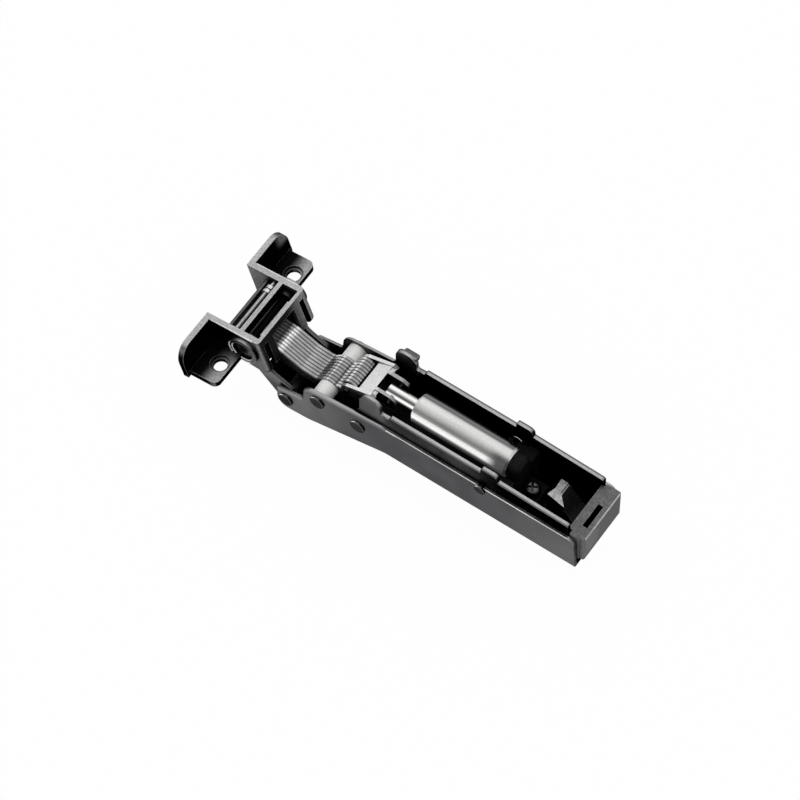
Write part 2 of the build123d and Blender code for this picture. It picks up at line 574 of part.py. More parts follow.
save("link_pin", pin(LINK_PIVOT, LINK_PIN_RADIUS, -BOX_HALF_WIDTH - 0.2, BOX_HALF_WIDTH + 0.2))
save("lever_pin", pin(LEVER_PIVOT, LEVER_PIN_RADIUS, -LUG_HALF, LUG_HALF))
save("cross_pin", pin(CROSS_PIN, CROSS_PIN_RADIUS, -BOX_HALF_WIDTH + 0.5, BOX_HALF_WIDTH - 0.5))
save("second_bar", pin(SECOND_BAR, SECOND_BAR_RADIUS, -BOX_HALF_WIDTH + 0.5, BOX_HALF_WIDTH - 0.5))
collars = []
for steps in (0, 1):
    outer_end = LUG_HALF - steps * COLLAR_STEP
    collar = pin(CROSS_PIN, COLLAR_RADIUS, outer_end - COLLAR_WIDTH, outer_end)
    collar -= pin(CROSS_PIN, CROSS_PIN_RADIUS, -20, 20)
    collars.append(collar)
save("pin_collars", Compound(children=collars))

# Adjusting screw on its block
screw_top = 7.7
block = box(SCREW_X - 2.6, SCREW_X + 2.6, -3.6, 3.6, INNER_FLOOR_TOP, 5.2)
block -= Pos(SCREW_X, 0, 5) * Cylinder(1.1, 10)
save("screw_block", block)
head = Pos(SCREW_X, 0, 5.2) * Cylinder(SCREW_HEAD_RADIUS, 2 * (screw_top - 5.2))
head = split(head, Plane.XY.offset(5.2), keep=Keep.TOP)
head = fillet(head.edges().filter_by(GeomType.CIRCLE).sort_by(Axis.Z)[-1], 1.2)
screw = head + Pos(SCREW_X, 0, (INNER_FLOOR_TOP + 5.2) / 2) * Cylinder(1.1, 5.2 - INNER_FLOOR_TOP)
for angle in (0, 90):
    screw -= Pos(SCREW_X, 0, screw_top) * Rot(0, 0, 30 + angle) * Box(2.8, 0.6, 2.4)
save("adjusting_screw", screw)
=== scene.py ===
"""Looks of a soft-close cabinet hinge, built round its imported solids.

The hinge lies open: a folded steel arm with a damper in it, a laminated lever,
two side links and a cast door bracket. Lengths are in metres.
"""

from __future__ import annotations

import logging
import math
from dataclasses import dataclass, field
from enum import Enum

import bmesh
import bpy
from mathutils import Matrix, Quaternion, Vector


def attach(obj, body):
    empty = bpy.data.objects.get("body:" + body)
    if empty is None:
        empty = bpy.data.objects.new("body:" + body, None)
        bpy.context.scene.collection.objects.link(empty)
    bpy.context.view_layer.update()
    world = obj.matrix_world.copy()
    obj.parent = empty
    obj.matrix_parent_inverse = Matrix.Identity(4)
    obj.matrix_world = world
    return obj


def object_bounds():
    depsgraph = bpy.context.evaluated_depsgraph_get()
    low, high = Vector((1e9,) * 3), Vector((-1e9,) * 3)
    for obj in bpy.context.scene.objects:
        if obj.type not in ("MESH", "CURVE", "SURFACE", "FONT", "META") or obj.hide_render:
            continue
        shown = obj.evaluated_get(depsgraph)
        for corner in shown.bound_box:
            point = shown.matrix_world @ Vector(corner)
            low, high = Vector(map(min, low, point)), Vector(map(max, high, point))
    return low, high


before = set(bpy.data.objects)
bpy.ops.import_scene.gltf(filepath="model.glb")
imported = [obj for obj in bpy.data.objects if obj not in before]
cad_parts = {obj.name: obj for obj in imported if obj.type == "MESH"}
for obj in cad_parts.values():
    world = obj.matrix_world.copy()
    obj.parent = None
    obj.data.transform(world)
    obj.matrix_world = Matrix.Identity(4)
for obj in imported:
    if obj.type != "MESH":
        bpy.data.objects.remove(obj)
CAD_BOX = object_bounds()
LOG = logging.getLogger("cabinet_hinge")
MM = 0.001
Colour = tuple[float, float, float]
Point = tuple[float, float, float]

# Patterns on the metal, as noise scales per metre, and how strongly they show
SMUDGE_SCALE = 110.0
DRAW_SCALE = 1400.0
EDGE_NOISE_SCALE = 700.0
GRAIN_DEPTH = 0.02 * MM
SMUDGE_SHARE = 0.6
DRAW_SHARE = 0.8
GRAIN_SHARE = 0.3
ROUGHNESS_SPREAD = 0.12
EDGE_POLISH = 0.08
# Painted shade between stacked plates, as a share of their colour
SEAM_SHADE = 0.4


class Axis(Enum):
    """The three directions of the shared frame, and the distance from the hinge's middle plane."""

    ALONG = 0
    ACROSS = 1
    UP = 2
    OFF_MIDDLE = 3


# Node helpers


class Graph:
    """A thin writer for one node tree."""

    def __init__(self, tree: bpy.types.NodeTree) -> None:
        """Keeps the tree that nodes are added to."""
        self.tree = tree

    def add(self, kind: str, **settings: object) -> bpy.types.Node:
        """Adds a node and sets its properties.

        Args:
            kind: Blender's name of the node type.
            **settings: properties of the node.

        Returns:
            The new node.
        """
        node = self.tree.nodes.new(kind)
        for name, value in settings.items():
            setattr(node, name, value)
        return node

    def link(self, source: bpy.types.NodeSocket, target: bpy.types.NodeSocket) -> None:
        """Joins two sockets."""
        self.tree.links.new(source, target)

    def feed(self, value: object, target: bpy.types.NodeSocket) -> None:
        """Links a socket, or sets a plain value on the target.

        Args:
            value: a socket, a number or a colour.
            target: the input that gets it.
        """
        if isinstance(value, bpy.types.NodeSocket):
            self.link(value, target)
        else:
            target.default_value = value

    def math(self, operation: str, first: object, second: object = 0.0, clamp: bool = False) -> bpy.types.NodeSocket:
        """One step of arithmetic.

        Args:
            operation: the Math node's operation.
            first: a socket or a number.
            second: a socket or a number.
            clamp: whether the result is kept between 0 and 1.

        Returns:
            The result's socket.
        """
        node = self.add("ShaderNodeMath", operation=operation, use_clamp=clamp)
        self.feed(first, node.inputs[0])
        self.feed(second, node.inputs[1])
        return node.outputs[0]

    def span(self, value: object, low: float, high: float, to_low: float = 0.0,
             to_high: float = 1.0) -> bpy.types.NodeSocket:
        """Maps a value smoothly from one span to another, clamped.

        Args:
            value: a socket.
            low: where the span starts.
            high: where it ends.
            to_low: the result at low.
            to_high: the result at high.

        Returns:
            The result's socket.
        """
        node = self.add("ShaderNodeMapRange", interpolation_type="SMOOTHSTEP")
        self.feed(value, node.inputs[0])
        for index, number in enumerate((low, high, to_low, to_high), start=1):
            node.inputs[index].default_value = number
        return node.outputs[0]

    def scale(self, colour: object, factor: object) -> bpy.types.NodeSocket:
        """Multiplies a colour by a number.

        Args:
            colour: a socket or a colour.
            factor: a socket or a number.

        Returns:
            The colour's socket.
        """
        node = self.add("ShaderNodeVectorMath", operation="SCALE")
        self.feed(colour, node.inputs[0])
        self.feed(factor, node.inputs["Scale"])
        return node.outputs[0]

    def mix(self, factor: object, first: object, second: object) -> bpy.types.NodeSocket:
        """Mixes two colours.

        Args:
            factor: a socket or a number, 0 for the first colour.
            first: a socket or a colour.
            second: a socket or a colour.

        Returns:
            The colour's socket.
        """
        node = self.add("ShaderNodeMix", data_type="RGBA")
        self.feed(factor, node.inputs[0])
        for value, socket in ((first, node.inputs[6]), (second, node.inputs[7])):
            self.feed((*value, 1.0) if isinstance(value, tuple) else value, socket)
        return node.outputs[2]


def new_group(name: str, inputs: dict[str, float], outputs: dict[str, str]) -> tuple[bpy.types.NodeTree, Graph]:
    """Starts a shader node group.

    Args:
        name: the group's name.
        inputs: name and default of each number that goes in.
        outputs: name and socket type of each result.

    Returns:
        The group and a writer for it.
    """
    tree = bpy.data.node_groups.new(name, "ShaderNodeTree")
    for socket, default in inputs.items():
        made = tree.interface.new_socket(socket, in_out="INPUT", socket_type="NodeSocketFloat")
        made.default_value = default
    for socket, kind in outputs.items():
        tree.interface.new_socket(socket, in_out="OUTPUT", socket_type=kind)
    return tree, Graph(tree)


class Effects:
    """Surface effects that several finishes share, each built once as a node group."""

    def __init__(self) -> None:
        """Builds every group."""
        self.grain = self._grain()
        self.brushing = self._brushing()
        self.worn_edge = self._worn_edge()
        self.hollow_shade = self._painted_hollow_shade()
        self.smudge = self._smudge()

    @staticmethod
    def _noise(graph: Graph, scale: object, detail: float = 2.0, roughness: float = 0.5,
               stretch: tuple[float, float, float] = (1.0, 1.0, 1.0)) -> bpy.types.NodeSocket:
        """Noise on object coordinates.

        Args:
            graph: the group's writer.
            scale: a socket or a number.
            detail: how many finer layers it has.
            roughness: how strong the finer layers are.
            stretch: scale along each axis.

        Returns:
            The noise's socket.
        """
        coordinate = graph.add("ShaderNodeTexCoord")
        mapping = graph.add("ShaderNodeMapping")
        mapping.inputs["Scale"].default_value = stretch
        graph.link(coordinate.outputs["Object"], mapping.inputs["Vector"])
        noise = graph.add("ShaderNodeTexNoise")
        noise.inputs["Detail"].default_value = detail
        noise.inputs["Roughness"].default_value = roughness
        graph.link(mapping.outputs[0], noise.inputs["Vector"])
        graph.feed(scale, noise.inputs["Scale"])
        return noise.outputs[0]

    def _grain(self) -> bpy.types.NodeTree:
        """Fine grain of a plated or cast skin.

        Returns:
            A group with a height and a speckle.
        """
        tree, graph = new_group("skin grain", {"Scale": 2500.0},
                                {"Height": "NodeSocketFloat", "Speckle": "NodeSocketFloat"})
        ins, outs = graph.add("NodeGroupInput"), graph.add("NodeGroupOutput")
        noise = self._noise(graph, ins.outputs["Scale"], detail=3.0, roughness=0.65)
        graph.link(noise, outs.inputs["Height"])
        graph.link(graph.span(noise, 0.35, 0.7), outs.inputs["Speckle"])
        return tree

    def _brushing(self) -> bpy.types.NodeTree:
        """Straight draw marks along the arm.

        Returns:
            A group with a height and a tone.
        """
        tree, graph = new_group("draw marks", {"Scale": 900.0},
                                {"Height": "NodeSocketFloat", "Tone": "NodeSocketFloat"})
        ins, outs = graph.add("NodeGroupInput"), graph.add("NodeGroupOutput")
        noise = self._noise(graph, ins.outputs["Scale"], detail=4.0, stretch=(0.04, 1.0, 1.0))
        graph.link(noise, outs.inputs["Height"])
        graph.link(graph.span(noise, 0.25, 0.75), outs.inputs["Tone"])
        return tree

    def _worn_edge(self) -> bpy.types.NodeTree:
        """Where an edge is rubbed bare: the gap between the true and the rounded normal.

        Returns:
            A group with the mask of the bare metal.
        """
        tree, graph = new_group("rubbed edge", {"Width": 0.3, "Amount": 1.0}, {"Mask": "NodeSocketFloat"})
        ins, outs = graph.add("NodeGroupInput"), graph.add("NodeGroupOutput")
        round_off = graph.add("ShaderNodeBevel", samples=6)
        graph.link(graph.math("MULTIPLY", ins.outputs["Width"], MM), round_off.inputs["Radius"])
        true = graph.add("ShaderNodeNewGeometry")
        dot = graph.add("ShaderNodeVectorMath", operation="DOT_PRODUCT")
        graph.link(round_off.outputs[0], dot.inputs[0])
        graph.link(true.outputs["Normal"], dot.inputs[1])
        gap = graph.math("SUBTRACT", 1.0, dot.outputs["Value"])
        broken = graph.span(self._noise(graph, EDGE_NOISE_SCALE), 0.3, 0.6, 0.45, 1.0)
        worn = graph.math("MULTIPLY", graph.span(gap, 0.02, 0.2), broken)
        graph.link(graph.math("MULTIPLY", worn, ins.outputs["Amount"], clamp=True), outs.inputs["Mask"])
        return tree

    def _painted_hollow_shade(self) -> bpy.types.NodeTree:
        """Painted shade in hollows, from ambient occlusion: how open a place lies.

        Returns:
            A group with 0 deep in a hollow and 1 out in the light.
        """
        tree, graph = new_group("painted hollow shade", {"Reach": 12.0, "Low": 0.2, "High": 0.8}, {"Open": "NodeSocketFloat"})
        ins, outs = graph.add("NodeGroupInput"), graph.add("NodeGroupOutput")
        shade = graph.add("ShaderNodeAmbientOcclusion", samples=12)
        graph.link(graph.math("MULTIPLY", ins.outputs["Reach"], MM), shade.inputs["Distance"])
        above = graph.math("SUBTRACT", shade.outputs["AO"], ins.outputs["Low"])
        whole = graph.math("SUBTRACT", ins.outputs["High"], ins.outputs["Low"])
        graph.link(graph.math("DIVIDE", above, whole, clamp=True), outs.inputs["Open"])
        return tree

    def _smudge(self) -> bpy.types.NodeTree:
        """Wide soft patches of handling that change the gloss.

        Returns:
            A group with the patches' tone.
        """
        tree, graph = new_group("handling", {"Scale": 120.0}, {"Tone": "NodeSocketFloat"})
        ins, outs = graph.add("NodeGroupInput"), graph.add("NodeGroupOutput")
        graph.link(graph.span(self._noise(graph, ins.outputs["Scale"]), 0.3, 0.7), outs.inputs["Tone"])
        return tree


class Surface(Enum):
    """How the finish is worked."""

    PLATED = "plated"
    BRUSHED = "brushed"
    MOULDED = "moulded"


@dataclass(frozen=True)
class Span:
    """Where a tone comes in along one axis, in mm."""

    axis: Axis
    none: float
    full: float

    def mask(self, graph: Graph) -> bpy.types.NodeSocket:
        """Builds the mask.

        Args:
            graph: the material's writer.

        Returns:
            0 up to the place of none, 1 from the place of full.
        """
        place = graph.add("ShaderNodeTexCoord")
        split = graph.add("ShaderNodeSeparateXYZ")
        graph.link(place.outputs["Object"], split.inputs[0])
        if self.axis is Axis.OFF_MIDDLE:
            value = graph.math("ABSOLUTE", split.outputs[1])
        else:
            value = split.outputs[self.axis.value]
        if self.full > self.none:
            return graph.span(value, self.none * MM, self.full * MM)
        return graph.span(value, self.full * MM, self.none * MM, 1.0, 0.0)


@dataclass(frozen=True)
class Tone:
    """Painted light and shade: a change of colour on the faces that look one way or lie in one place."""

    colour: Colour
    facing: Colour | None = None
    turn: tuple[float, float] = (0.75, 0.97)
    spans: tuple[Span, ...] = ()

    def lay(self, graph: Graph, under: bpy.types.NodeSocket) -> bpy.types.NodeSocket:
        """Lays the tone over a colour.

        Args:
            graph: the material's writer.
            under: the colour below.

        Returns:
            The new colour.
        """
        mask: object = 1.0
        if self.facing is not None:
            place = graph.add("ShaderNodeTexCoord")
            dot = graph.add("ShaderNodeVectorMath", operation="DOT_PRODUCT")
            graph.link(place.outputs["Normal"], dot.inputs[0])
            dot.inputs[1].default_value = Vector(self.facing).normalized()
            mask = graph.math("MULTIPLY", mask, graph.span(dot.outputs["Value"], *self.turn))
        for span in self.spans:
            mask = graph.math("MULTIPLY", mask, span.mask(graph))
        return graph.mix(mask, under, self.colour)


@dataclass(frozen=True)
class ReflectionBands:
    """Painted reflections: bright and dark bands along a drawn round bar, across it from its far to its near side."""

    stops: tuple[tuple[float, float], ...]
    across: Colour = (0.0, -0.903, -0.43)
    lift: Colour | None = None

    def side(self, graph: Graph) -> bpy.types.NodeSocket:
        """From -1 on the far side of the bar to 1 on its near side."""
        place = graph.add("ShaderNodeTexCoord")
        dot = graph.add("ShaderNodeVectorMath", operation="DOT_PRODUCT")
        graph.link(place.outputs["Normal"], dot.inputs[0])
        dot.inputs[1].default_value = self.across
        return dot.outputs["Value"]

    def turn_up(self, graph: Graph, normal: bpy.types.NodeSocket) -> bpy.types.NodeSocket:
        """Turns the shading of the near side up to the light that the channel's wall hides.

        Args:
            graph: the material's writer.
            normal: the shading normal so far.

        Returns:
            The new normal.
        """
        if self.lift is None:
            return normal
        blend = graph.add("ShaderNodeMix", data_type="VECTOR")
        graph.link(graph.span(self.side(graph), 0.05, 0.4), blend.inputs[0])
        graph.link(normal, blend.inputs[4])
        blend.inputs[5].default_value = Vector(self.lift).normalized()
        whole = graph.add("ShaderNodeVectorMath", operation="NORMALIZE")
        graph.link(blend.outputs[1], whole.inputs[0])
        return whole.outputs[0]

    def lay(self, graph: Graph) -> bpy.types.NodeSocket:
        """Builds the bands.

        Args:
            graph: the material's writer.

        Returns:
            The colour's socket.
        """
        ramp = graph.add("ShaderNodeValToRGB")
        graph.link(graph.math("ADD", graph.math("MULTIPLY", self.side(graph), 0.5), 0.5), ramp.inputs[0])
        points = ramp.color_ramp.elements
        for number, (side, level) in enumerate(self.stops):
            position = (side + 1.0) / 2.0
            if 0 < number < len(self.stops) - 1:
                point = points.new(position)
            else:
                point = points[-1 if number else 0]
                point.position = position
            point.color = (level, level, level * 0.99, 1.0)
        return ramp.outputs[0]


@dataclass(frozen=True)
class Finish:
    """One finish of the hinge, made as a material from the shared effects."""

    name: str
    colour: Colour
    edge: Colour
    # colour of the painted shade in hollows; reach and opening set how far it spreads
    hollow_shade: Colour
    surface: Surface
    roughness: float
    metal: float = 1.0
    reach: float = 12.0
    opening: tuple[float, float] = (0.2, 0.75)
    edge_width: float = 0.25
    edge_amount: float = 0.6
    grain_scale: float = 2600.0
    grain_bump: float = 0.15
    tone: float = 0.1
    # painted light and shade laid over the colour
    painted_tones: tuple[Tone, ...] = ()
    # painted highlights laid last, over wear and the painted hollow shade
    glints: tuple[Tone, ...] = ()
    bands: ReflectionBands | None = None
    pitch: float = 0.0
    pitch_start: float = 0.0
    rim: float = 1.0
    gloss: float = 0.5

    def make(self, effects: Effects) -> bpy.types.Material:
        """Builds the material.

        Args:
            effects: the shared node groups.

        Returns:
            The finished material.
        """
        material = bpy.data.materials.new(self.name)
        material.use_nodes = True
        graph = Graph(material.node_tree)
        shader = material.node_tree.nodes["Principled BSDF"]
        shader.inputs["Metallic"].default_value = self.metal
        shader.inputs["Specular Tint"].default_value = (self.rim, self.rim, self.rim, 1.0)
        shader.inputs["Specular IOR Level"].default_value = self.gloss

        def group(tree: bpy.types.NodeTree, **values: float) -> bpy.types.Node:
            """Places a shared effect with this finish's values.

            Args:
                tree: the effect's group.
                **values: numbers for the group's sockets.

            Returns:
                The group's node.
            """
            node = graph.add("ShaderNodeGroup", node_tree=tree)
            for socket, value in values.items():
                node.inputs[socket].default_value = value
            return node

        grain = group(effects.grain, Scale=self.grain_scale)
        smudge = group(effects.smudge, Scale=SMUDGE_SCALE)
        # painted reflections as bands on round bars
        colour = self.bands.lay(graph) if self.bands else self.colour
        # painted light and shade
        for tone in self.painted_tones:
            colour = tone.lay(graph, colour)
        if self.pitch:
            colour = self.stripe(graph, colour)
        speckle = graph.span(grain.outputs["Speckle"], 0.0, 1.0, 1.0 - self.tone, 1.0 + self.tone)
        spread = SMUDGE_SHARE * self.tone
        soft = graph.span(smudge.outputs["Tone"], 0.0, 1.0, 1.0 - spread, 1.0 + spread)
        height = grain.outputs["Height"]
        level = graph.math("MULTIPLY", speckle, soft)
        if self.surface is Surface.BRUSHED:
            marks = group(effects.brushing, Scale=DRAW_SCALE)
            drawn = graph.span(marks.outputs["Tone"], 0.0, 1.0, 1.0 - self.tone, 1.0 + self.tone)
            level = graph.math("MULTIPLY", level, drawn)
            height = graph.math("ADD", graph.math("MULTIPLY", marks.outputs["Height"], DRAW_SHARE),
                                graph.math("MULTIPLY", height, GRAIN_SHARE))
        worn = group(effects.worn_edge, Width=self.edge_width, Amount=self.edge_amount)
        colour = graph.mix(worn.outputs["Mask"], colour, self.edge)
        colour = graph.scale(colour, level)
        # painted shade: the hollows take the shade colour
        hollow_shade = group(effects.hollow_shade, Reach=self.reach, Low=self.opening[0], High=self.opening[1])
        colour = graph.mix(hollow_shade.outputs["Open"], self.hollow_shade, colour)
        # painted highlights
        for glint in self.glints:
            colour = glint.lay(graph, colour)
        graph.link(colour, shader.inputs["Base Color"])
        rough = graph.span(smudge.outputs["Tone"], 0.0, 1.0, self.roughness * (1.0 - ROUGHNESS_SPREAD),
                           self.roughness * (1.0 + ROUGHNESS_SPREAD))
        graph.link(graph.math("SUBTRACT", rough, graph.math("MULTIPLY", worn.outputs["Mask"], EDGE_POLISH)),
                   shader.inputs["Roughness"])
        bump = graph.add("ShaderNodeBump")
        bump.inputs["Strength"].default_value = self.grain_bump
        bump.inputs["Distance"].default_value = GRAIN_DEPTH
        graph.link(height, bump.inputs["Height"])
        normal = self.bands.turn_up(graph, bump.outputs[0]) if self.bands else bump.outputs[0]
        graph.link(normal, shader.inputs["Normal"])
        return material

    def stripe(self, graph: Graph, under: bpy.types.NodeSocket) -> bpy.types.NodeSocket:
        """Painted shade between stacked plates: darkens their rounded edges.

        Args:
            graph: the material's writer.
            under: the colour below.

        Returns:
            The striped colour.
        """
        place = graph.add("ShaderNodeTexCoord")
        split = graph.add("ShaderNodeSeparateXYZ")
        graph.link(place.outputs["Object"], split.inputs[0])
        count = graph.math("DIVIDE", graph.math("SUBTRACT", split.outputs[1], self.pitch_start * MM), self.pitch * MM)
        off_centre = graph.math("ABSOLUTE", graph.math("SUBTRACT", graph.math("FRACT", count), 0.5))
        return graph.mix(graph.span(off_centre, 0.1, 0.5), under, graph.scale(under, SEAM_SHADE))


# Facings of painted highlights and painted shade, and the black of painted shade
UP: Colour = (0.0, 0.0, 1.0)
TIPPED_UP: Colour = (-0.105, 0.0, 0.995)
TO_DOOR: Colour = (-0.45, 0.0, 0.89)
BLACK: Colour = (0.004, 0.003, 0.003)


def grey(level: float, blue: float = 1.0) -> Colour:
    """A grey of one linear level, a touch cooler when blue is above 1."""
    return (level, level, level * blue)


ALONG, ACROSS, ABOVE, OFF_MIDDLE = Axis.ALONG, Axis.ACROSS, Axis.UP, Axis.OFF_MIDDLE

